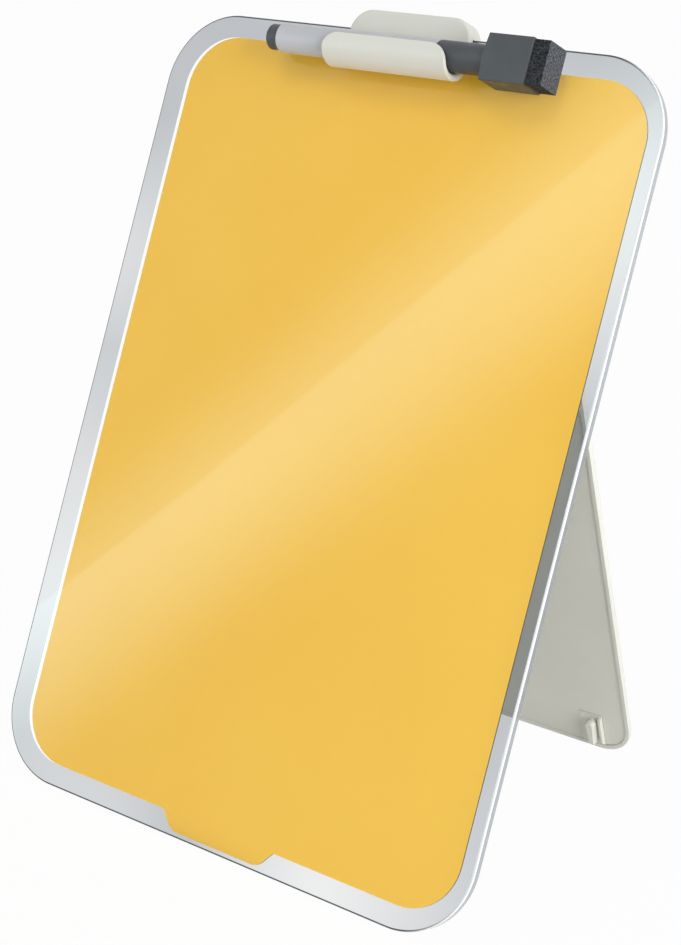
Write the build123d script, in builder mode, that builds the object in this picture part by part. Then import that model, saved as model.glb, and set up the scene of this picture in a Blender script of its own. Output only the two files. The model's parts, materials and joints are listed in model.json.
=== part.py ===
from build123d import *
from math import atan2, cos, degrees, radians, sin
import os

# A desk easel with a glass writing board. The board leans back on a fold-out stand, and a
# moulded clip hangs over its top edge and carries a marker with an eraser on its cap.
# Millimetres, +Z up, front of the board towards -Y. The origin is on the desk, at the
# centre of the easel's footprint.

# ---- Driving dimensions --------------------------------------------------------------

# Attitude
lean = 25.0              # degrees the board leans back from upright
open_angle = 43.0        # degrees between board and stand when the stand is on its stop

# Glass, coloured steel sheet and back cover
board_w = 210.0
board_h = 297.0
glass_t = 4.0
glass_corner_r = 27.5
glass_edge = 0.4         # ground chamfer round both faces of the glass
rim_w = 7.4              # clear glass left showing round the sheet
sheet_t = 0.6
sheet_corner_r = 20.0
tab_w = 40.0             # width of the bottom tab along its lower edge
tab_flare = 5.3          # how much further each flank reaches at the tab's root
tab_edge_gap = 0.9       # from the glass's bottom edge to the tab
tab_corner_r = 6.0
tab_root_r = 1.5
tape_t = 0.2             # bonding tape between sheet and cover
tape_w = 14.0
tape_inset = 4.0
cover_t = 1.9
cover_inset = 1.6        # cover's outline inside the sheet's
cover_border = 6.0       # thick border left round the cover's thinned panel
cover_thinning = 0.6
rib_w = 1.6
rib_columns = 5
rib_rows = 7

# Hinge
hinge_up = 195.3         # hinge axis above the board's bottom edge, along the board
hinge_standoff = 4.3     # hinge axis behind the back cover
hinge_land = 24.0        # height of the cover's full-thickness band behind the hinge
knuckle_inset = 29.0     # each knuckle's centre inside the stand's side
knuckle_w = 20.0
knuckle_r = 3.4
ear_w = 4.0
ear_r = 3.6
ear_foot = 4.8           # half the ear's length where it leaves the cover
side_gap = 0.3           # knuckle to ear
pin_r = 1.5
pin_head_r = 2.3
pin_head_t = 0.8
pin_clear = 0.05         # running clearance of the pin in the knuckle
pin_grip = 0.01          # clearance of the pin in the ears
heel_len = 3.2           # length of the stop face on each knuckle
stop_gap = 0.05

# Stand
stand_inset = 14.0       # stand's sides inside the board's
stand_t = 2.7
stand_foot_t = 1.9
stand_taper = 60.0       # length over which the stand thins towards its foot
stand_front = 1.7        # front face of the stand in front of the hinge axis
stand_top = 5.5          # top edge of the stand's panel below the hinge axis
stand_corner_r = 14.5
stand_top_r = 6.0
stand_rim = 1.6
stand_recess = 0.5
stand_rim_open = 6.4     # the rim stops this far round the knuckles' edge

# Fold catches, one near each bottom corner of the stand
catch_inset = 16.6       # catch's centre inside the stand's side
catch_up = 9.8           # catch centre above the stand's foot edge
catch_w = 9.8
catch_h = 15.0
catch_base_t = 0.9       # let into the panel
catch_proud = 0.3        # standing above it
catch_fit = 0.1
catch_bite = 0.8         # how far a tongue reaches into the cover when folded
tongue_x = 0.8           # tongue's centre outwards from its base's centre
tongue_top_w = 4.0
tongue_foot_w = 2.6
tongue_h = 11.4
tongue_room = 0.6        # room round a tongue in its pocket
tongue_tip_r = 1.6
tongue_edge = 0.5
guide_w = 1.0            # rib along the outer side of each base
guide_rise = 2.0

# Pen clip
clip_w = 51.4
clip_wall = 2.0          # front leg, against the glass
clip_rear = 1.65         # rear leg, behind the glass
clip_rise = 6.7          # top of the clip above the glass
clip_gap = 0.15          # clip to the faces of the glass
clip_seat = 0.05         # clip's roof to the top edge of the glass
clip_rear_drop = 6.6     # rear leg down from the top of the glass
clip_top_r = 8.5
pad_t = 0.4              # soft strip inside the rear leg
pad_drop = 5.0
trough_wall = 2.4
trough_up = 8.6          # pen's axis below the top of the glass
lip_rise = 2.2           # front lip above the pen's axis
lip_corner_r = 6.0
clip_edge = 1.2          # soft edge round the block's front face and down into the trough
clip_back_edge = 0.8     # chamfer round its rear face

# Marker
pen_r = 5.35
pen_clear = 0.35         # pen to trough
pen_left = -54.0         # closed end of the marker
plug_flange = 5.0
plug_r = 4.6
plug_spigot = 6.0
plug_edge = 0.7
cap_mouth = 19.6
barrel_wall = 1.25
barrel_edge = 0.5
cap_gap = 0.3            # barrel's shoulder to the cap's mouth
reservoir_gap = 0.15
section_spigot = 11.0
section_len = 15.0
section_r = 4.2
nose_r = 3.0
nib_r = 1.5
nib_out = 4.0
nib_in = 7.0
nib_point = 0.8
cap_wall = 0.9
cap_end = 50.0
cap_end_wall = 2.0
seal_start = 36.0
seal_end = 45.0
seal_r = 3.4

# Eraser on the cap
holder_start = 39.2
holder_end = 57.6
holder_h = 16.2
holder_d = 12.5
holder_wall = 1.2
holder_bulge = 1.1       # the ridge on the holder's inner end
holder_floor = 2.6
holder_edge = 0.35
felt_out = 6.4
felt_gap = 0.1
felt_side = 0.45         # felt's sides inside the holder's outline, past its mouth

# ---- Derived places ------------------------------------------------------------------

tilt = radians(lean)
prop = radians(open_angle - lean)          # stand's angle from upright
swing = radians(open_angle)
sheet_back = -(glass_t + sheet_t)
tape_back = sheet_back - tape_t
cover_back = tape_back - cover_t
hinge_depth = hinge_standoff - cover_back  # hinge axis behind the front face of the glass
board_lift = (glass_t - glass_edge) * sin(tilt)
hinge_y = hinge_up * sin(tilt) + hinge_depth * cos(tilt)
hinge_z = board_lift + hinge_up * cos(tilt) - hinge_depth * sin(tilt)
stand_reach = (hinge_z - stand_front * sin(prop)) / cos(prop)
foot_y = hinge_y - stand_front * cos(prop) + stand_reach * sin(prop)
footprint = foot_y + stand_foot_t * cos(prop)
fold_gap = hinge_standoff - stand_front    # cover to the folded stand
stand_w = board_w - 2 * stand_inset
knuckle_x = stand_w / 2 - knuckle_inset
catch_x = stand_w / 2 - catch_inset

# Board plane: X to the right, Y up the board, Z out of its front face.
board = Plane(
    origin=(0, -footprint / 2, board_lift),
    x_dir=(1, 0, 0),
    z_dir=(0, -cos(tilt), sin(tilt)),
)
# Stand plane: origin on the hinge axis, Y up the stand, Z towards the board.
stand = Plane(
    origin=board.from_local_coords((0, hinge_up, -hinge_depth)),
    x_dir=(1, 0, 0),
    z_dir=(0, -cos(prop), -sin(prop)),
)
up_board = Axis(board.origin, board.y_dir)
out_board = Axis(board.origin, board.z_dir)
up_stand = Axis(stand.origin, stand.y_dir)
out_stand = Axis(stand.origin, stand.z_dir)

sides = {"left": -1, "right": 1}


def board_section(x):
    """Plane across the board at X = x: its X is out of the board, its Y up the board."""
    return Plane(board.from_local_coords((x, 0, 0)), x_dir=board.z_dir, z_dir=(-1, 0, 0))


def stand_section(x):
    """Plane across the stand at X = x: its X is towards the board, its Y up the stand."""
    return Plane(stand.from_local_coords((x, 0, 0)), x_dir=stand.z_dir, z_dir=(-1, 0, 0))


def save(piece, name):
    piece.part.label = name
    export_step(piece.part, "parts/" + name + ".step")


os.makedirs("parts", exist_ok=True)

# ---- Board ---------------------------------------------------------------------------

with BuildPart() as glass_panel:
    with BuildSketch(board.offset(-glass_t)):
        with Locations((0, board_h / 2)):
            RectangleRounded(board_w, board_h, glass_corner_r)
    extrude(amount=glass_t)
    chamfer(glass_panel.faces().filter_by(out_board).edges(), length=glass_edge)
save(glass_panel, "glass_panel")

sheet_w = board_w - 2 * rim_w
sheet_h = board_h - 2 * rim_w

# The coloured sheet, with a tab that runs down over the clear rim at the bottom.
with BuildPart() as writing_sheet:
    with BuildSketch(board.offset(sheet_back)) as sheet_outline:
        with Locations((0, board_h / 2)):
            RectangleRounded(sheet_w, sheet_h, sheet_corner_r)
        with BuildLine():
            Polyline(
                (-tab_w / 2, tab_edge_gap),
                (tab_w / 2, tab_edge_gap),
                (tab_w / 2 + tab_flare, rim_w),
                (tab_w / 2 + tab_flare, rim_w + sheet_corner_r / 2),
                (-tab_w / 2 - tab_flare, rim_w + sheet_corner_r / 2),
                (-tab_w / 2 - tab_flare, rim_w),
                close=True,
            )
        make_face()
        corners = sheet_outline.vertices().group_by(Axis.Y)
        fillet(corners[0], radius=tab_corner_r)
        fillet(
            [v for v in sheet_outline.vertices() if abs(abs(v.X) - tab_w / 2 - tab_flare) < 0.01],
            radius=tab_root_r,
        )
    extrude(amount=sheet_t)
save(writing_sheet, "writing_sheet")

# Four strips of tape in one ring, just inside the cover's edge.
with BuildPart() as bonding_tape:
    with BuildSketch(board.offset(tape_back)):
        with Locations((0, board_h / 2)):
            RectangleRounded(
                sheet_w - 2 * tape_inset, sheet_h - 2 * tape_inset, sheet_corner_r - tape_inset
            )
            Rectangle(
                sheet_w - 2 * tape_inset - 2 * tape_w,
                sheet_h - 2 * tape_inset - 2 * tape_w,
                mode=Mode.SUBTRACT,
            )
    extrude(amount=tape_t)
save(bonding_tape, "bonding_tape")

cover_w = sheet_w - 2 * cover_inset
cover_h = sheet_h - 2 * cover_inset
panel_w = cover_w - 2 * cover_border
panel_h = cover_h - 2 * cover_border
ear_offset = knuckle_w / 2 + side_gap + ear_w / 2
ear_centres = [
    side * (knuckle_x + step) for side in sides.values() for step in (-ear_offset, ear_offset)
]
fold_up = hinge_up - stand_reach + catch_up   # catch centre up the board when folded
tongue_reach = fold_gap + catch_bite
pocket_depth = catch_bite + tongue_room / 2

# Moulded cover: thinned behind with a grid of ribs, lands at the hinge and at the two
# catch pockets, and a pair of ears for each hinge pin.
with BuildPart() as back_cover:
    with BuildSketch(board.offset(cover_back)):
        with Locations((0, board_h / 2)):
            RectangleRounded(cover_w, cover_h, sheet_corner_r - cover_inset)
    extrude(amount=cover_t)
    with BuildSketch(board.offset(cover_back)):
        with Locations((0, board_h / 2)):
            RectangleRounded(panel_w, panel_h, sheet_corner_r - cover_inset - cover_border)
            with GridLocations(panel_w / rib_columns, 0, rib_columns - 1, 1):
                Rectangle(rib_w, panel_h, mode=Mode.SUBTRACT)
            with GridLocations(0, panel_h / rib_rows, 1, rib_rows - 1):
                Rectangle(panel_w, rib_w, mode=Mode.SUBTRACT)
        with Locations((0, hinge_up)):
            Rectangle(panel_w, hinge_land, mode=Mode.SUBTRACT)
        with Locations(
            (-catch_x - tongue_x, fold_up),
            (catch_x + tongue_x, fold_up),
        ):
            Rectangle(catch_w + 2 * cover_border, catch_h + cover_border, mode=Mode.SUBTRACT)
    extrude(amount=cover_thinning, mode=Mode.SUBTRACT)
    with BuildSketch(board.offset(cover_back)):
        with Locations(
            (-catch_x - tongue_x, fold_up),
            (catch_x + tongue_x, fold_up),
        ):
            Rectangle(tongue_top_w + 2 * tongue_room, tongue_h + 2 * tongue_room)
    extrude(amount=pocket_depth, mode=Mode.SUBTRACT)
    with BuildSketch(*[board_section(x) for x in ear_centres]):
        with BuildLine():
            Polyline(
                (cover_back, hinge_up - ear_foot),
                (cover_back, hinge_up + ear_foot),
                (-hinge_depth, hinge_up + ear_r),
                (-hinge_depth, hinge_up - ear_r),
                close=True,
            )
        make_face()
        with Locations((-hinge_depth, hinge_up)):
            Circle(ear_r)
            Circle(pin_r + pin_grip, mode=Mode.SUBTRACT)
    extrude(amount=ear_w / 2, both=True)
save(back_cover, "back_cover")

# ---- Hinge pins ----------------------------------------------------------------------

pin_len = knuckle_w + 2 * side_gap + 2 * ear_w

for side_name, side in sides.items():
    pin_inner = side * (knuckle_x - pin_len / 2)
    pin_outer = side * (knuckle_x + pin_len / 2)
    with BuildPart() as hinge_pin:
        with BuildSketch(stand_section(pin_inner)):
            Circle(pin_r)
        extrude(amount=-side * pin_len)
        with BuildSketch(stand_section(pin_outer)):
            Circle(pin_head_r)
        extrude(amount=-side * pin_head_t)
    save(hinge_pin, "hinge_pin_" + side_name)

# ---- Stand ---------------------------------------------------------------------------

stand_back = stand_front - stand_t
catch_y = catch_up - stand_reach
panel_face = stand_front - stand_recess

# A moulded panel with a rim round its front. Two knuckles carry it on the pins, and the
# flat heel above each knuckle meets the back cover when the stand is open.
with BuildPart() as stand_leg:
    with BuildSketch(stand_section(0)):
        with BuildLine():
            Polyline(
                (stand_front, -stand_top),
                (stand_front, -stand_reach),
                (stand_front - stand_foot_t, -stand_reach),
                (stand_back, stand_taper - stand_reach),
                (stand_back, -stand_top),
                close=True,
            )
        make_face()
    extrude(amount=stand_w / 2, both=True)
    corner_edges = stand_leg.edges().filter_by(out_stand).group_by(up_stand)
    fillet(corner_edges[0], radius=stand_corner_r)
    fillet(corner_edges[-1], radius=stand_top_r)
    with BuildSketch(stand.offset(panel_face)):
        with Locations((0, -(stand_reach + stand_top) / 2)):
            RectangleRounded(
                stand_w - 2 * stand_rim,
                stand_reach - stand_top - 2 * stand_rim,
                stand_corner_r - stand_rim,
            )
        with Locations((0, -stand_top)):
            Rectangle(stand_w, stand_rim_open, mode=Mode.SUBTRACT)
    extrude(amount=stand_recess, mode=Mode.SUBTRACT)
    with BuildSketch(stand.offset(panel_face)):
        with Locations((-catch_x, catch_y), (catch_x, catch_y)):
            Rectangle(catch_w + 2 * catch_fit, catch_h + 2 * catch_fit)
    extrude(amount=-catch_base_t, mode=Mode.SUBTRACT)
    with BuildSketch(stand_section(-knuckle_x), stand_section(knuckle_x)):
        stop_r = hinge_standoff - stop_gap
        heel_low = Vector(stop_r * cos(swing), stop_r * sin(swing))
        heel_high = heel_low + Vector(-heel_len * sin(swing), heel_len * cos(swing))
        with BuildLine():
            Polyline(
                (stand_back, -stand_top - stand_rim),
                (stand_front, -stand_top - stand_rim),
                (knuckle_r, 0),
                (heel_low.X, heel_low.Y),
                (heel_high.X, heel_high.Y),
                (stand_back, heel_high.Y),
                close=True,
            )
        make_face()
        Circle(knuckle_r)
        Circle(pin_r + pin_clear, mode=Mode.SUBTRACT)
    extrude(amount=knuckle_w / 2, both=True)
save(stand_leg, "stand_leg")

tongue_taper = degrees(atan2((tongue_top_w - tongue_foot_w) / 2, tongue_h))

# Snap-in catches: a thin base let into the panel, a rib along its outer side, and a tongue
# that stands towards the board, narrower at its foot, and enters the cover's pocket when
# the stand is folded.
for side_name, side in sides.items():
    with BuildPart() as stand_catch:
        with BuildSketch(stand.offset(panel_face - catch_base_t)):
            with Locations((side * catch_x, catch_y)):
                Rectangle(catch_w, catch_h)
        extrude(amount=catch_base_t + catch_proud)
        with BuildSketch(stand.offset(panel_face)) as tongue:
            with Locations((side * (catch_x + tongue_x), catch_y)):
                Trapezoid(tongue_top_w, tongue_h, 90 + tongue_taper)
            fillet(tongue.vertices().group_by(Axis.Y)[-1], radius=tongue_tip_r)
        extrude(amount=stand_recess + tongue_reach)
        chamfer(stand_catch.faces().sort_by(out_stand)[-1].edges(), length=tongue_edge)
        with BuildSketch(stand_section(side * (catch_x + catch_w / 2))):
            with BuildLine():
                Polyline(
                    (panel_face, catch_y - catch_h / 2),
                    (panel_face + guide_rise, catch_y - catch_h / 2 + guide_rise),
                    (panel_face + guide_rise, catch_y + catch_h / 2 - guide_rise / 2),
                    (panel_face, catch_y + catch_h / 2),
                    close=True,
                )
            make_face()
        extrude(amount=side * guide_w)
    save(stand_catch, "stand_catch_" + side_name)

# ---- Pen clip ------------------------------------------------------------------------

trough_r = pen_r + pen_clear
shell_r = trough_r + trough_wall
leg_face = clip_gap + clip_wall           # face of the front leg
pen_out = leg_face + trough_r             # pen's axis in front of the glass
pen_up = board_h - trough_up              # pen's axis up the board
roof = board_h + clip_seat
clip_top = board_h + clip_rise
rear_in = -(glass_t + clip_gap + pad_t)
rear_out = rear_in - clip_rear
rear_low = board_h - clip_rear_drop
lip_top = pen_up + lip_rise
heel_up = pen_up - (shell_r ** 2 - (pen_out - clip_gap) ** 2) ** 0.5

# One J-shaped section: a block over the top edge of the glass, a short leg behind it, and
# a long leg in front that curls forward and up into the trough that the marker lies in.
with BuildPart() as pen_clip:
    with BuildSketch(board_section(0)):
        with BuildLine():
            Polyline(
                (clip_gap, heel_up),
                (clip_gap, roof),
                (rear_in, roof),
                (rear_in, rear_low),
                (rear_out, rear_low),
                (rear_out, clip_top),
                (leg_face, clip_top),
                (leg_face, pen_up),
            )
            ThreePointArc(
                (leg_face, pen_up),
                (pen_out, pen_up - trough_r),
                (pen_out + trough_r, pen_up),
            )
            Polyline(
                (pen_out + trough_r, pen_up),
                (pen_out + trough_r, lip_top),
                (pen_out + shell_r, lip_top),
                (pen_out + shell_r, pen_up),
            )
            ThreePointArc(
                (pen_out + shell_r, pen_up),
                (pen_out, pen_up - shell_r),
                (clip_gap, heel_up),
            )
        make_face()
    extrude(amount=clip_w / 2, both=True)
    for side in sides.values():
        inner_side = Align.MIN if side > 0 else Align.MAX
        with BuildSketch(board.offset(rear_out)):
            with Locations((side * (clip_w / 2 - clip_top_r), clip_top - clip_top_r)):
                Rectangle(2 * clip_top_r, 2 * clip_top_r, align=(inner_side, Align.MIN))
                Circle(clip_top_r, mode=Mode.SUBTRACT)
        extrude(amount=leg_face - rear_out, mode=Mode.SUBTRACT)
        with BuildSketch(board.offset(pen_out)):
            with Locations((side * (clip_w / 2 - lip_corner_r), lip_top - lip_corner_r)):
                Rectangle(2 * lip_corner_r, 2 * lip_corner_r, align=(inner_side, Align.MIN))
                Circle(lip_corner_r, mode=Mode.SUBTRACT)
        extrude(amount=shell_r, mode=Mode.SUBTRACT)
    top_edges = pen_clip.faces().sort_by(up_board)[-1].edges().filter_by(Axis.X)
    rear_edge, front_edge = top_edges.sort_by(out_board)
    fillet(front_edge, radius=clip_edge)
    chamfer(rear_edge, length=clip_back_edge)
save(pen_clip, "pen_clip")

# A soft strip along the inside of the rear leg grips the glass.
with BuildPart() as clip_pad:
    with BuildSketch(board_section(0)):
        with Locations((rear_in + pad_t / 2, roof - clip_seat - pad_drop / 2 - glass_edge)):
            Rectangle(pad_t, pad_drop)
    extrude(amount=clip_w / 2 - clip_wall, both=True)
save(clip_pad, "clip_pad")

# ---- Marker --------------------------------------------------------------------------

pen_axis = Axis(board.from_local_coords((0, pen_up, pen_out)), (1, 0, 0))
# Plane through the pen's axis: X along the marker, Y up the board.
pen = Plane(pen_axis.position, x_dir=(1, 0, 0), z_dir=board.z_dir)


def turned(points):
    """Turn a half profile of (place along the marker, radius) points round the pen's axis."""
    with BuildSketch(pen) as half_profile:
        with BuildLine():
            Polyline(*points, close=True)
        make_face()
    revolve(half_profile.sketch, axis=pen_axis)


def pen_section(x):
    """Plane across the marker at X = x: its X is out of the board, its Y up the board."""
    return Plane(pen.from_local_coords((x, 0, 0)), x_dir=board.z_dir, z_dir=(-1, 0, 0))


barrel_start = pen_left + plug_flange
barrel_end = cap_mouth - cap_gap
barrel_bore = pen_r - barrel_wall
spigot_end = barrel_start + plug_spigot
section_start = barrel_end - section_spigot
section_end = barrel_end + section_len
cap_bore = pen_r - cap_wall

with BuildPart() as pen_barrel:
    turned(
        [
            (barrel_start, barrel_bore),
            (barrel_start, pen_r),
            (barrel_end, pen_r),
            (barrel_end, barrel_bore),
        ]
    )
    chamfer(
        pen_barrel.edges().group_by(Axis.X)[0].sort_by(SortBy.LENGTH)[-1], length=barrel_edge
    )
save(pen_barrel, "pen_barrel")

with BuildPart() as end_plug:
    turned(
        [
            (pen_left, 0),
            (pen_left, plug_r),
            (barrel_start, plug_r),
            (barrel_start, barrel_bore),
            (spigot_end, barrel_bore),
            (spigot_end, 0),
        ]
    )
    chamfer(end_plug.edges().group_by(Axis.X)[0], length=plug_edge)
save(end_plug, "end_plug")

nib_start = section_start - nib_in
reservoir_end = section_start - reservoir_gap

with BuildPart() as ink_reservoir:
    turned(
        [
            (spigot_end + reservoir_gap, 0),
            (spigot_end + reservoir_gap, barrel_bore - reservoir_gap),
            (reservoir_end, barrel_bore - reservoir_gap),
            (reservoir_end, nib_r),
            (nib_start, nib_r),
            (nib_start, 0),
        ]
    )
save(ink_reservoir, "ink_reservoir")

# Stepped nose: a spigot in the barrel, a grip that the cap slides over, a cone to the nib.
with BuildPart() as grip_section:
    turned(
        [
            (section_start, nib_r),
            (section_start, barrel_bore),
            (barrel_end, barrel_bore),
            (barrel_end, section_r),
            (barrel_end + section_len / 2, section_r),
            (section_end, nose_r),
            (section_end, nib_r),
        ]
    )
save(grip_section, "grip_section")

with BuildPart() as pen_nib:
    turned(
        [
            (nib_start, 0),
            (nib_start, nib_r),
            (section_end + nib_out, nib_r),
            (section_end + nib_out, 0),
        ]
    )
    chamfer(pen_nib.edges().group_by(Axis.X)[-1], length=nib_point)
save(pen_nib, "pen_nib")

with BuildPart() as pen_cap:
    turned(
        [
            (cap_mouth, cap_bore),
            (cap_mouth, pen_r),
            (cap_end, pen_r),
            (cap_end, 0),
            (cap_end - cap_end_wall, 0),
            (cap_end - cap_end_wall, cap_bore),
        ]
    )
save(pen_cap, "pen_cap")

with BuildPart() as cap_seal:
    turned(
        [
            (seal_start, seal_r),
            (seal_start, cap_bore),
            (seal_end, cap_bore),
            (seal_end, seal_r),
        ]
    )
save(cap_seal, "cap_seal")

# ---- Eraser --------------------------------------------------------------------------

felt_start = cap_end + holder_floor
felt_end = holder_end + felt_out

# Box pushed onto the closed end of the cap; its inner end has a low ridge.
with BuildPart() as eraser_holder:
    with BuildSketch(pen):
        with BuildLine():
            Polyline(
                (holder_start, 0),
                (holder_start + holder_bulge, holder_h / 2),
                (holder_end, holder_h / 2),
                (holder_end, -holder_h / 2),
                (holder_start + holder_bulge, -holder_h / 2),
                close=True,
            )
        make_face()
    extrude(amount=holder_d / 2, both=True)
    fillet(eraser_holder.edges().filter_by(Axis.X), radius=holder_edge)
    with BuildSketch(pen_section(holder_start)):
        Circle(pen_r)
    extrude(amount=holder_start - cap_end, mode=Mode.SUBTRACT)
    with BuildSketch(pen_section(felt_start)):
        Rectangle(holder_d - 2 * holder_wall, holder_h - 2 * holder_wall)
    extrude(amount=felt_start - holder_end, mode=Mode.SUBTRACT)
save(eraser_holder, "eraser_holder")

# Felt block: a stem in the box and a wider face that wipes the board.
with BuildPart() as eraser_felt:
    with BuildSketch(pen_section(felt_start + felt_gap)):
        Rectangle(
            holder_d - 2 * holder_wall - 2 * felt_gap,
            holder_h - 2 * holder_wall - 2 * felt_gap,
        )
    extrude(amount=felt_start - holder_end)
    with BuildSketch(pen_section(holder_end + felt_gap)):
        Rectangle(holder_d - 2 * felt_side, holder_h - 2 * felt_side)
    extrude(amount=felt_gap - felt_out)
save(eraser_felt, "eraser_felt")
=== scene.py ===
import json
from math import radians

import bmesh
import bpy
from mathutils import Euler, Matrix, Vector

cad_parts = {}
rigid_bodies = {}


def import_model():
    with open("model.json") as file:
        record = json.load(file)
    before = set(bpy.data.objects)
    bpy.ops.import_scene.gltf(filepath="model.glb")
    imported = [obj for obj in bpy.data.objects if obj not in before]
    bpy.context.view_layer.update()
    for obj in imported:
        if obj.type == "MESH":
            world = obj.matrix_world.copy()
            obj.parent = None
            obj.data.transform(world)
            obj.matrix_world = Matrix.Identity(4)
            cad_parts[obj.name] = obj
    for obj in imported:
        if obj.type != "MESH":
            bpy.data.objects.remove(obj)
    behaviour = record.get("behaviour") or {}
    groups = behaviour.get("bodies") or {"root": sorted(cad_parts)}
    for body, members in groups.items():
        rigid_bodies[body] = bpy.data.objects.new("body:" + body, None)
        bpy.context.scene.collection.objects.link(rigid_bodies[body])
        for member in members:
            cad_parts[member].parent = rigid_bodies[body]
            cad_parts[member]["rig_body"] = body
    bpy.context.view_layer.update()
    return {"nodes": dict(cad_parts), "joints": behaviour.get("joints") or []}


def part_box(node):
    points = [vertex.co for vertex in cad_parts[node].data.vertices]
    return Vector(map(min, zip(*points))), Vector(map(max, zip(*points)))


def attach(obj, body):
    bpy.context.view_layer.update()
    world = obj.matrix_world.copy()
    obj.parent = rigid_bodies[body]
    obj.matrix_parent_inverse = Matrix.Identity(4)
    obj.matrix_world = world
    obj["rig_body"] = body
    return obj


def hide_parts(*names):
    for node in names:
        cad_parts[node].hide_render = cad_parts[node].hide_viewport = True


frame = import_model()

scene = bpy.context.scene

# ---- Board's own directions --------------------------------------------------------------
# The board leans back, so its pieces are placed by how far they are to the right, up the
# board and out of its front face. The clip lifts off straight up the board.

MM = 0.001
joint_axes = {joint["name"]: Vector(joint["axis"]) for joint in frame["joints"]}
RIGHT = Vector((1, 0, 0))
UP = joint_axes["clip_lift"].normalized()
OUT = RIGHT.cross(UP)
SQUARE_ON = 0.99        # cosine from which a face counts as square to a direction
glass_points = [v.co for v in frame["nodes"]["glass_panel"].data.vertices]
GLASS_LOW = min(p.dot(UP) for p in glass_points)
GLASS_HIGH = max(p.dot(UP) for p in glass_points)
GLASS_FRONT = max(p.dot(OUT) for p in glass_points)
GLASS_BACK = min(p.dot(OUT) for p in glass_points)


def on_board(x, up, out):
    """Place in the part's frame, from metres right, up the board and out of its face."""
    return RIGHT * x + UP * (GLASS_LOW + up) + OUT * (GLASS_FRONT + out)


# ---- Camera ------------------------------------------------------------------------------
# A long lens from the right of the board and a little above it, with no roll.

FRAME_W, FRAME_H = 681, 945
FOCAL_PX = 1861.5
CENTRE_X_PX = 375.1     # the lens is shifted sideways, so its axis isn't mid-frame
CAMERA_PLACE = (0.3757, -0.4965, 0.3686)
LOOK_DOWN = radians(21.66)
LOOK_LEFT = radians(35.58)
camera_data = bpy.data.cameras.new("camera")
camera_data.sensor_width = 36
camera_data.lens = FOCAL_PX * camera_data.sensor_width / FRAME_H
camera_data.shift_x = (FRAME_W / 2 - CENTRE_X_PX) / FRAME_H
camera_data.clip_start = 0.02
camera = bpy.data.objects.new("camera", camera_data)
camera.location = CAMERA_PLACE
camera.rotation_euler = Euler((radians(90) - LOOK_DOWN, 0, LOOK_LEFT))
scene.collection.objects.link(camera)
scene.camera = camera
scene.view_settings.view_transform = "Standard"

# ---- Studio ------------------------------------------------------------------------------
# A white floor and white surroundings, with low soft lights at both sides and a smaller
# one above. The camera, glass and gloss see plain white; the floor keeps a shadow.


def linear(hex_colour):
    """sRGB hex to the linear colour that shader sockets take."""
    parts = [int(hex_colour[i:i + 2], 16) / 255 for i in (0, 2, 4)]
    return tuple(c / 12.92 if c < 0.04045 else ((c + 0.055) / 1.055) ** 2.4 for c in parts) + (1,)


def add(tree, kind, links=(), **settings):
    """Add a node. Settings name its properties or its inputs; links are (socket, input)."""
    node = tree.nodes.new(kind)
    for name, value in settings.items():
        label = name.replace("_", " ")
        if hasattr(node, name) and name not in node.inputs:
            setattr(node, name, value)
        else:
            node.inputs[label if label in node.inputs else name].default_value = value
    for source, target in links:
        tree.links.new(source, node.inputs[target])
    return node


def maths(tree, operation, first, second=0.0):
    """The result of a Math node. Each value is a number or a socket."""
    node = add(tree, "ShaderNodeMath", operation=operation)
    for slot, value in enumerate((first, second)):
        if isinstance(value, bpy.types.NodeSocket):
            tree.links.new(value, node.inputs[slot])
        else:
            node.inputs[slot].default_value = value
    return node.outputs[0]


def blend(tree, share, under, over):
    """Mix two shaders, with that share of the second."""
    links = [(share, 0), (under.outputs[0], 1), (over.outputs[0], 2)]
    return add(tree, "ShaderNodeMixShader", links=links)


def show(tree, shader, output="ShaderNodeOutputMaterial"):
    """Put a shader on the tree's output."""
    add(tree, output, links=[(shader.outputs[0], "Surface")])


def new_material(name):
    """An empty material and its node tree."""
    material = bpy.data.materials.new(name)
    material.use_nodes = True
    material.node_tree.nodes.clear()
    return material, material.node_tree


def seen_directly(tree):
    """1 for camera, glossy and transmission rays, and 0 for the rays that light things."""
    rays = add(tree, "ShaderNodeLightPath").outputs
    straight = maths(tree, "MAXIMUM", rays["Is Camera Ray"], rays["Is Glossy Ray"])
    return maths(tree, "MAXIMUM", straight, rays["Is Transmission Ray"])


WHITE = (1, 1, 1, 1)
FILL = 0.54             # strength of the even light from all round
world = bpy.data.worlds.new("studio")
world.use_nodes = True
world.node_tree.nodes.clear()
tree = world.node_tree
fill = add(tree, "ShaderNodeBackground", Color=WHITE, Strength=FILL)
backdrop = add(tree, "ShaderNodeBackground", Color=WHITE, Strength=1.0)
show(tree, blend(tree, seen_directly(tree), fill, backdrop), "ShaderNodeOutputWorld")
scene.world = world

FLOOR_HALF = 6.0
FLOOR_SHADOW = 0.05     # how much of the floor's own shading shows
floor_mesh = bpy.data.meshes.new("floor")
floor_mesh.from_pydata(
    [(x * FLOOR_HALF, y * FLOOR_HALF, 0) for x, y in ((-1, -1), (1, -1), (1, 1), (-1, 1))],
    [], [(0, 1, 2, 3)],
)
floor = bpy.data.objects.new("floor", floor_mesh)
scene.collection.objects.link(floor)
floor_paint, tree = new_material("white floor")
shaded = add(tree, "ShaderNodeBsdfDiffuse", Color=linear("f4f4f4"))
plain = add(tree, "ShaderNodeEmission", Color=WHITE, Strength=1.0)
share = maths(tree, "MULTIPLY", seen_directly(tree), 1 - FLOOR_SHADOW)
show(tree, blend(tree, share, shaded, plain))
floor_mesh.materials.append(floor_paint)


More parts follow.
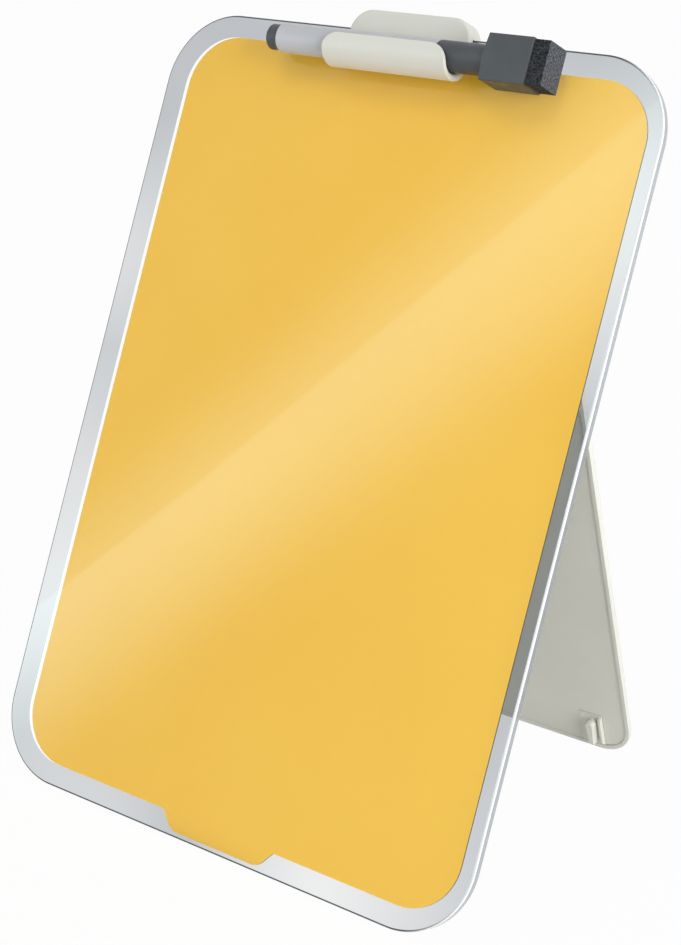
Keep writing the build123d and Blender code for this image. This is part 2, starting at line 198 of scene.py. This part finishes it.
def lamp(name, place, aim, size, watts):
    """A square soft light at place, turned to aim."""
    data = bpy.data.lights.new(name, "AREA")
    data.size = size
    data.energy = watts
    lamp_object = bpy.data.objects.new(name, data)
    lamp_object.location = place
    lamp_object.rotation_euler = (Vector(aim) - Vector(place)).to_track_quat("-Z", "Y").to_euler()
    scene.collection.objects.link(lamp_object)


AIM = (0, 0, 0.13)      # the middle of the board
lamp("right light", (2.2, -0.75, 0.7), AIM, 1.3, 47)
lamp("left light", (-1.4, -0.4, 0.2), AIM, 0.9, 2)
lamp("top light", (0.2, -1.0, 1.7), AIM, 0.5, 3)

# ---- Soft box in the glass ---------------------------------------------------------------
# A tall diffuser stands in front of the board, where only gloss sees it, and its image
# lies across the glass as one bright band: a hard upper edge and a long fade below.

BAND_LEFT = (-0.098, 0.0721)    # the band's hard edge on the glass: right, up
BAND_RIGHT = (0.0971, 0.2836)
BAND_ABOVE = 0.037              # how far the glow reaches on each side of that edge
BAND_BELOW = 0.074
BOX_FAR = 0.9                   # the diffuser's distance from the board
BOX_OVERRUN = 0.4               # share of the band's length that it goes on at each end
BOX_GLOW = 3.2
BOX_TINT = (0.68, 1.0, 0.97, 1)     # cool, so the band looks pale on the yellow

edge_run = Vector(BAND_RIGHT) - Vector(BAND_LEFT)
edge_down = Vector((edge_run.y, -edge_run.x)).normalized()


def mirrored(x, up):
    """Where the camera's ray goes on to after it meets the glass at that place."""
    place = on_board(x, up, 0)
    ray = (place - camera.location).normalized()
    return place + (ray - 2 * ray.dot(OUT) * OUT) * BOX_FAR


corners = []
for end, onward, reach in (
    (BAND_LEFT, -BOX_OVERRUN, -BAND_ABOVE), (BAND_RIGHT, BOX_OVERRUN, -BAND_ABOVE),
    (BAND_RIGHT, BOX_OVERRUN, BAND_BELOW), (BAND_LEFT, -BOX_OVERRUN, BAND_BELOW),
):
    spot = Vector(end) + edge_down * reach + edge_run * onward
    corners.append(mirrored(spot.x, spot.y))
soft_mesh = bpy.data.meshes.new("soft box")
soft_mesh.from_pydata(corners, [], [(0, 1, 2, 3)])
uv = soft_mesh.uv_layers.new(name="across")
for loop, across in zip(uv.data, ((0, 0), (1, 0), (1, 1), (0, 1))):
    loop.uv = across
soft_box = bpy.data.objects.new("soft_box", soft_mesh)
scene.collection.objects.link(soft_box)
glow, tree = new_material("diffuser")
across = add(tree, "ShaderNodeUVMap", uv_map="across")
split = add(tree, "ShaderNodeSeparateXYZ", links=[(across.outputs[0], 0)])
ramp = add(tree, "ShaderNodeValToRGB", links=[(split.outputs["Y"], 0)])
stops = (                       # across the diffuser: place, brightness
    (0.0, 0.0), (0.10, 0.08), (0.325, 0.62), (0.337, 0.98), (0.42, 1.0),
    (0.58, 0.70), (0.74, 0.30), (0.85, 0.08), (1.0, 0.0),
)
while len(ramp.color_ramp.elements) < len(stops):
    ramp.color_ramp.elements.new(0.5)
for element, (place, level) in zip(ramp.color_ramp.elements, stops):
    element.position = place
    element.color = (level, level, level, 1)
strength = maths(tree, "MULTIPLY", ramp.outputs["Color"], BOX_GLOW)
light = add(tree, "ShaderNodeEmission", Color=BOX_TINT, links=[(strength, "Strength")])
clear = add(tree, "ShaderNodeBsdfTransparent")
links = [(light.outputs[0], 0), (clear.outputs[0], 1)]
show(tree, add(tree, "ShaderNodeAddShader", links=links))
soft_mesh.materials.append(glow)
soft_box.visible_camera = False
soft_box.visible_diffuse = False
soft_box.visible_transmission = False
soft_box.visible_shadow = False

# ---- Writing sheet -----------------------------------------------------------------------
# Thin steel, enamelled warm yellow on the face and bonded behind the glass, so that
# magnets hold on the front. A tab runs down over the clear rim.


def objects_place(tree):
    """The place on the object that is shaded, in metres."""
    return add(tree, "ShaderNodeTexCoord").outputs["Object"]


def drift(tree, place, per_metre, colour_a, colour_b, detail=2.0):
    """A soft wander between two close colours, over cells of 1 / per_metre."""
    noise = add(
        tree, "ShaderNodeTexNoise", links=[(place, "Vector")],
        Scale=per_metre, Detail=detail, Roughness=0.5,
    )
    span = add(
        tree, "ShaderNodeMapRange", links=[(noise.outputs["Fac"], "Value")],
        From_Min=0.35, From_Max=0.65,       # where most of the noise lies
    )
    mix = add(tree, "ShaderNodeMix", data_type="RGBA", links=[(span.outputs[0], 0)])
    mix.inputs[6].default_value = colour_a
    mix.inputs[7].default_value = colour_b
    return mix.outputs[2]


def grain(tree, place, per_metre, height, detail=2.0):
    """A bump of fine noise, height in metres."""
    noise = add(
        tree, "ShaderNodeTexNoise", links=[(place, "Vector")],
        Scale=per_metre, Detail=detail, Roughness=0.55,
    )
    links = [(noise.outputs["Fac"], "Height")]
    return add(tree, "ShaderNodeBump", links=links, Distance=height, Strength=1.0).outputs[0]


def varied(tree, place, per_metre, low, high):
    """A number that wanders between low and high."""
    noise = add(
        tree, "ShaderNodeTexNoise", links=[(place, "Vector")], Scale=per_metre, Detail=3.0
    )
    return add(
        tree, "ShaderNodeMapRange", links=[(noise.outputs["Fac"], "Value")],
        From_Min=0.3, From_Max=0.7,         # nearly all of the noise
        To_Min=low, To_Max=high,
    ).outputs[0]


def surface(tree, colour, roughness, normal=None, **settings):
    """A Principled shader on the output, with linked colour, roughness and bump."""
    links = [(colour, "Base Color"), (roughness, "Roughness")]
    if normal is not None:
        links.append((normal, "Normal"))
    show(tree, add(tree, "ShaderNodeBsdfPrincipled", links=links, **settings))


# Yellow stoved enamel on steel: even, with a faint orange-peel ripple. It is wetted by
# the clear adhesive under the glass, so it has no gloss of its own.
enamel, tree = new_material("yellow stoved enamel")
place = objects_place(tree)
surface(
    tree,
    drift(tree, place, 9, linear("f4c442"), linear("f6c848")),
    varied(tree, place, 40, 0.42, 0.50),
    grain(tree, place, 700, 0.00002),
    Specular_IOR_Level=0.0,
)


def finish_node(node_name, material):
    """Give a CAD node its material."""
    mesh = frame["nodes"][node_name].data
    mesh.materials.clear()
    mesh.materials.append(material)


def bake_modifiers(piece):
    """Turn a piece and its modifiers into one plain mesh."""
    graph = bpy.context.evaluated_depsgraph_get()
    done = bpy.data.meshes.new_from_object(piece.evaluated_get(graph))
    piece.modifiers.clear()
    piece.data = done


def dressed(node_name, material, edge, segments=2, corner=28):
    """A copy of a CAD node with its facets merged and its edges softened, in its place."""
    source = frame["nodes"][node_name]
    mesh = source.data.copy()
    tidy = bmesh.new()
    tidy.from_mesh(mesh)
    bmesh.ops.remove_doubles(tidy, verts=tidy.verts, dist=1e-6)
    bmesh.ops.dissolve_limit(
        tidy, angle_limit=radians(0.5), verts=tidy.verts, edges=tidy.edges
    )
    tidy.to_mesh(mesh)
    tidy.free()
    mesh.materials.clear()
    mesh.materials.append(material)
    piece = bpy.data.objects.new(node_name + "_shown", mesh)
    scene.collection.objects.link(piece)
    mesh.shade_smooth()
    if edge:
        bevel = piece.modifiers.new("edge", "BEVEL")
        bevel.width = edge
        bevel.segments = segments
        bevel.limit_method = "ANGLE"
        bevel.angle_limit = radians(corner)
        bevel.use_clamp_overlap = True
        weight = piece.modifiers.new("shading", "WEIGHTED_NORMAL")
        weight.keep_sharp = True
    bake_modifiers(piece)
    if not edge:
        piece.data.set_sharp_from_angle(angle=radians(corner))
    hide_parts(node_name)
    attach(piece, source["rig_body"])
    return piece


# The sheet's cut edge is coloured dark olive: painted shade, for the dark line along the sheet
# where the stand lies behind the glass.
shaded_sheet_edge, tree = new_material("sheet edge with painted shade")
place = objects_place(tree)
surface(
    tree,
    drift(tree, place, 400, linear("4a3c1a"), linear("64522a")),
    varied(tree, place, 400, 0.5, 0.7),
)
sheet = dressed("writing_sheet", enamel, 0)
# The sheet's side faces take the painted shade.
sheet.data.materials.append(shaded_sheet_edge)
for face in sheet.data.polygons:
    if abs(face.normal.dot(OUT)) < 0.5:     # it faces outward along the board
        face.material_index = 1

# ---- Glass panel -------------------------------------------------------------------------
# Toughened float glass with rounded corners. Its edge and back arris are polished and its
# front arris is ground. Outside the sheet the panel is clear and slightly grey.

GLASS_CORNER = 27.5 * MM
ARRIS = 0.75 * MM
ARRIS_MID_IN = ARRIS * 0.35     # where the middle of its round lies, from the edge
ARRIS_MID_DOWN = ARRIS * 0.28   # and from the face
BOND_LINE = 0.03 * MM           # the adhesive film between glass and enamel
ADHESIVE_SPREAD = 1.4 * MM      # how far it squeezes out past the sheet's left edge
SPREAD_FROM = 60 * MM           # left of the centre line by this much, it shows
CORNER_STEPS = 40

glass_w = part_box("glass_panel")[1].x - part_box("glass_panel")[0].x
glass_h = GLASS_HIGH - GLASS_LOW
glass_t = GLASS_FRONT - GLASS_BACK


def rounded_outline(width, height, radius, inset, steps):
    """Points round a rounded rectangle, as (right, up), from its bottom right corner."""
    points = []
    half = width / 2
    centres = (
        (half - radius, radius, -90), (half - radius, height - radius, 0),
        (radius - half, height - radius, 90), (radius - half, radius, 180),
    )
    for x, up, start in centres:
        for step in range(steps + 1):
            turn = Euler((0, 0, radians(start + 90 * step / steps))).to_matrix()
            reach = turn @ Vector((radius - inset, 0, 0))
            points.append((x + reach.x, up + reach.y))
    return points


glass_mesh = bmesh.new()
rings = []
sections = (                    # of the edge, front to back: inset, out
    (ARRIS, 0), (ARRIS_MID_IN, -ARRIS_MID_DOWN), (0, -ARRIS),
    (0, ARRIS - glass_t), (ARRIS_MID_IN, ARRIS_MID_DOWN - glass_t),
    (ARRIS, BOND_LINE - glass_t),
)
for inset, out in sections:
    outline = rounded_outline(glass_w, glass_h, GLASS_CORNER, inset, CORNER_STEPS)
    rings.append([glass_mesh.verts.new(on_board(x, up, out)) for x, up in outline])
glass_mesh.faces.new(rings[0])
for upper, lower in zip(rings, rings[1:]):
    for i in range(len(upper)):
        j = (i + 1) % len(upper)
        glass_mesh.faces.new((upper[j], upper[i], lower[i], lower[j]))

# The back face is cut along the sheet's outline, because only inside it is it bonded.
sheet_mesh = bmesh.new()
sheet_mesh.from_mesh(frame["nodes"]["writing_sheet"].data)
bmesh.ops.remove_doubles(sheet_mesh, verts=sheet_mesh.verts, dist=1e-6)
front = [f for f in sheet_mesh.faces if f.normal.dot(OUT) > SQUARE_ON]
border = [e for f in front for e in f.edges if sum(g in front for g in e.link_faces) == 1]
placed = {}
for edge in border:
    for vert in edge.verts:
        if vert not in placed:
            lift = GLASS_BACK + BOND_LINE - vert.co.dot(OUT)
            spread = ADHESIVE_SPREAD if vert.co.x < -SPREAD_FROM else 0
            placed[vert] = glass_mesh.verts.new(vert.co + OUT * lift - RIGHT * spread)
inner = [glass_mesh.edges.new([placed[v] for v in edge.verts]) for edge in border]
last = rings[-1]
outer = [glass_mesh.edges.get((a, b)) for a, b in zip(last, last[1:] + last[:1])]
bmesh.ops.triangle_fill(glass_mesh, edges=inner + outer, use_beauty=True, use_dissolve=False)
within = bmesh.ops.triangle_fill(glass_mesh, edges=inner, use_beauty=True, use_dissolve=False)
bonded = within["geom"]
sheet_mesh.free()
bmesh.ops.recalc_face_normals(glass_mesh, faces=glass_mesh.faces)
PLAIN = 1                       # material slot of the front and the bonded back
GROUND = 2                      # and of the front arris
for face in glass_mesh.faces:
    facing = face.normal.dot(OUT)
    face.smooth = abs(facing) < SQUARE_ON
    if facing > SQUARE_ON or face in bonded:
        face.material_index = PLAIN
    elif facing > 0.01:                     # it slopes forward
        face.material_index = GROUND
panel_mesh = bpy.data.meshes.new("glass_panel_shown")
glass_mesh.to_mesh(panel_mesh)
glass_mesh.free()
panel_mesh.set_sharp_from_angle(angle=radians(20))
glass = bpy.data.objects.new("glass_panel_shown", panel_mesh)
scene.collection.objects.link(glass)

# Clear float glass: what is behind it shows through a faint grey cast, unbent. Its front
# mirrors a little, more at a low angle. From outside, the polished edge scatters and looks
# grey, but it lets the light through to the sheet. From inside it has the faces' cast.
# Round five places on the rim the cast is painted paler: painted reflections of the studio.
GLASS_IOR = 1.5
# Painted reflections on the rim: places where its grey cast is painted paler.
PAINTED_REFLECTIONS = (              # of the rim: right, up, reach, share
    (0.048, 0.005, 0.073, 0.85), (-0.065, 0.005, 0.080, 0.32),
    (-0.108, 0.088, 0.120, 0.56), (-0.108, 0.203, 0.062, 0.45),
    (0.108, 0.240, 0.075, 0.60),
)
EDGE_HAZE = 0.45                # share of the polished edge that scatters


def under_gloss(tree, body):
    """Lay the outer face's mirror over a shader. The inner side of a face has none."""
    fresnel = add(tree, "ShaderNodeFresnel", IOR=GLASS_IOR).outputs[0]
    backfacing = add(tree, "ShaderNodeNewGeometry").outputs["Backfacing"]
    share = maths(tree, "MULTIPLY", fresnel, maths(tree, "SUBTRACT", 1.0, backfacing))
    mirror = add(tree, "ShaderNodeBsdfGlossy", Color=WHITE, Roughness=0.0)
    return blend(tree, share, body, mirror)


float_glass, tree = new_material("polished float glass")
place = objects_place(tree)
normal = add(tree, "ShaderNodeTexCoord").outputs["Normal"]
facing = add(tree, "ShaderNodeVectorMath", operation="DOT_PRODUCT", links=[(normal, 0)])
facing.inputs[1].default_value = OUT
flatness = maths(tree, "ABSOLUTE", facing.outputs["Value"])
on_face = add(
    tree, "ShaderNodeMapRange", links=[(flatness, "Value")],
    From_Min=0.80, From_Max=SQUARE_ON,
)
# Near each place the cast is painted paler, a painted reflection.
painted_reflection = 0.0
for x, up, reach, share in PAINTED_REFLECTIONS:
    away = add(tree, "ShaderNodeVectorMath", operation="DISTANCE", links=[(place, 0)])
    away.inputs[1].default_value = on_board(x, up, 0)
    near = add(
        tree, "ShaderNodeMapRange", links=[(away.outputs["Value"], "Value")],
        interpolation_type="SMOOTHSTEP", From_Min=reach, From_Max=0.0, To_Max=share,
    )
    painted_reflection = maths(tree, "MAXIMUM", near.outputs[0], painted_reflection)
even = drift(tree, place, 14, linear("babec2"), linear("c8cbcf"), detail=1.0)
cast = add(tree, "ShaderNodeMix", data_type="RGBA", links=[(painted_reflection, 0), (even, 6)])
cast.inputs[7].default_value = linear("f6f7f7")
face_body = add(tree, "ShaderNodeBsdfTransparent", links=[(cast.outputs[2], "Color")])
edge_clear = add(tree, "ShaderNodeBsdfTransparent", Color=linear("d3d7d9"))
edge_haze = add(tree, "ShaderNodeBsdfDiffuse", Color=linear("a9afb2"))
hazy = maths(tree, "MULTIPLY", seen_directly(tree), EDGE_HAZE)
edge_body = blend(tree, hazy, edge_clear, edge_haze)
from_inside = add(tree, "ShaderNodeNewGeometry").outputs["Backfacing"]
even_cast = maths(tree, "MAXIMUM", on_face.outputs[0], from_inside)
show(tree, under_gloss(tree, blend(tree, even_cast, edge_body, face_body)))

# The same glass over the sheet: the adhesive fills the joint, so the colour behind comes
# through undimmed and only the front mirrors.
bonded_glass, tree = new_material("float glass over adhesive")
bare = add(tree, "ShaderNodeBsdfTransparent", Color=WHITE)
show(tree, under_gloss(tree, bare))

# The front arris is left as ground: it draws a thin line round the panel. Its colour is painted
# by
# the way it faces: a painted highlight where it turns to the right light, painted shade
# elsewhere.
# It too lets the light through to the sheet.
ground_glass, tree = new_material("ground glass arris")
normal = add(tree, "ShaderNodeTexCoord").outputs["Normal"]
turned = add(tree, "ShaderNodeVectorMath", operation="DOT_PRODUCT", links=[(normal, 0)])
turned.inputs[1].default_value = RIGHT
painted_highlight_share = add(
    tree, "ShaderNodeMapRange", links=[(turned.outputs["Value"], "Value")],
    From_Min=0.1, From_Max=0.5,
)
painted_arris_tone = add(tree, "ShaderNodeMix", data_type="RGBA", links=[(painted_highlight_share.outputs[0], 0)])
painted_arris_tone.inputs[6].default_value = linear("3a4044")
painted_arris_tone.inputs[7].default_value = linear("e4e7e8")
frosted = add(
    tree, "ShaderNodeBsdfPrincipled",
    links=[
        (painted_arris_tone.outputs[2], "Base Color"),
        (varied(tree, objects_place(tree), 600, 0.35, 0.5), "Roughness"),
    ],
)
open_path = add(tree, "ShaderNodeBsdfTransparent", Color=WHITE)
show(tree, blend(tree, seen_directly(tree), open_path, frosted))

for material in (float_glass, bonded_glass, ground_glass):
    panel_mesh.materials.append(material)
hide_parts("glass_panel")
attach(glass, "board")

# ---- Bonding tape and back cover ---------------------------------------------------------
# A ring of white tape holds the moulded cover to the sheet. The cover is ribbed and
# carries the hinge ears. It is satin, off-white, fine-grained moulded plastic.

# White polyester tape: matt and slightly uneven.
tape, tree = new_material("white polyester tape")
place = objects_place(tree)
surface(
    tree,
    drift(tree, place, 60, linear("e6e6e2"), linear("efefec")),
    varied(tree, place, 200, 0.6, 0.75),
    grain(tree, place, 3000, 0.00003),
)
finish_node("bonding_tape", tape)

# Off-white ABS from a spark-eroded mould: satin, with a grain of about 0.4 mm and a
# barely uneven cast.
abs_white, tree = new_material("off-white moulded ABS")
place = objects_place(tree)
surface(
    tree,
    drift(tree, place, 25, linear("d4d4cb"), linear("d8d8cf")),
    varied(tree, place, 120, 0.36, 0.46),
    grain(tree, place, 2500, 0.00002),
)
dressed("back_cover", abs_white, 0.15 * MM)

# ---- Hinge pins --------------------------------------------------------------------------
# Two drawn steel pins, pressed through the ears, with a low head outboard.

# Drawn steel: fine lines run along the pin.
drawn_steel, tree = new_material("drawn steel")
place = objects_place(tree)
stretch = add(tree, "ShaderNodeMapping", links=[(place, "Vector")], Scale=(0.05, 1, 1))
surface(
    tree,
    drift(tree, stretch.outputs[0], 4000, linear("b6b8ba"), linear("cccecf")),
    varied(tree, stretch.outputs[0], 5000, 0.22, 0.36),
    Metallic=1.0,
)
for side in ("left", "right"):
    dressed("hinge_pin_" + side, drawn_steel, 0.2 * MM)

# ---- Stand -------------------------------------------------------------------------------
# A thin moulded panel with a rim round its inner face and two knuckles on the pins. A
# small catch is let into each bottom corner.

dressed("stand_leg", abs_white, 0.25 * MM)
for side in ("left", "right"):
    dressed("stand_catch_" + side, abs_white, 0.15 * MM)

# ---- Pen clip ----------------------------------------------------------------------------
# One moulding in a J: a block over the glass, and a trough in front. All its edges are
# generously rounded. A soft strip inside keeps it from scratching the glass.

dressed("pen_clip", abs_white, 0.9 * MM, segments=5, corner=40)

# Silicone strip: matt, a little darker than the moulding.
silicone, tree = new_material("grey silicone strip")
place = objects_place(tree)
surface(
    tree,
    drift(tree, place, 80, linear("b9bab4"), linear("c4c5c0")),
    varied(tree, place, 300, 0.55, 0.7),
    grain(tree, place, 4000, 0.00003),
)
finish_node("clip_pad", silicone)

# ---- Marker ------------------------------------------------------------------------------
# A slim dry-wipe marker: a pale grey barrel shut by a dark plug, with the ink fibre, the
# nose and the fibre nib inside the cap.

# Pale grey polypropylene: satin, slightly waxy.
barrel_grey, tree = new_material("pale grey polypropylene")
place = objects_place(tree)
surface(
    tree,
    drift(tree, place, 60, linear("b8babe"), linear("bec0c4")),
    varied(tree, place, 200, 0.3, 0.4),
    grain(tree, place, 3000, 0.00001),
)
# Charcoal polypropylene: satin, with a fine mould grain.
charcoal, tree = new_material("charcoal polypropylene")
place = objects_place(tree)
surface(
    tree,
    drift(tree, place, 60, linear("383b3f"), linear("3f4247")),
    varied(tree, place, 200, 0.38, 0.5),
    grain(tree, place, 2800, 0.00002),
)
# Bonded polyester fibre soaked in black ink.
ink_fibre, tree = new_material("inked bonded fibre")
place = objects_place(tree)
surface(
    tree,
    drift(tree, place, 900, linear("1c1d20"), linear("34363a")),
    varied(tree, place, 900, 0.7, 0.9),
    grain(tree, place, 5000, 0.0001),
)
dressed("pen_barrel", barrel_grey, 0.2 * MM)
dressed("end_plug", charcoal, 0)
dressed("ink_reservoir", ink_fibre, 0)
dressed("grip_section", charcoal, 0.15 * MM)
dressed("pen_nib", ink_fibre, 0)

# ---- Cap and eraser ----------------------------------------------------------------------
# The cap slides over the nose. Its closed end carries a box that holds a block of dense
# charcoal felt for wiping the board.

dressed("pen_cap", charcoal, 0.25 * MM)
dressed("cap_seal", barrel_grey, 0)
holder = dressed("eraser_holder", charcoal, 0.2 * MM)

# Dense needled felt in charcoal wool: fibres of two tones, matt, with a soft edge.
felt, tree = new_material("charcoal needled felt")
place = objects_place(tree)
surface(
    tree,
    drift(tree, place, 1500, linear("101114"), linear("404347"), detail=4.0),
    varied(tree, place, 800, 0.8, 0.95),
    grain(tree, place, 1600, 0.0004, detail=5.0),
    Specular_IOR_Level=0.15,
)
# Its end face, turned to the right light, is painted lighter: painted light, a lit copy of the
# felt.
felt_painted_lit, tree = new_material("felt with painted light on its end")
place = objects_place(tree)
surface(
    tree,
    drift(tree, place, 1500, linear("2b2d32"), linear("676b72"), detail=4.0),
    varied(tree, place, 800, 0.8, 0.95),
    grain(tree, place, 1600, 0.0004, detail=5.0),
    Specular_IOR_Level=0.15,
)
felt_block = dressed("eraser_felt", felt, 0.3 * MM)
felt_block.data.materials.append(felt_painted_lit)
# The end face takes the lighter, painted-light copy of the felt.
for face in felt_block.data.polygons:
    if face.normal.dot(RIGHT) > 0.7:        # the end face wipes
        face.material_index = 1

# The glass doesn't mirror the eraser, which would stand as a dark patch beside it.
for piece in (holder, felt_block):
    piece.visible_glossy = False
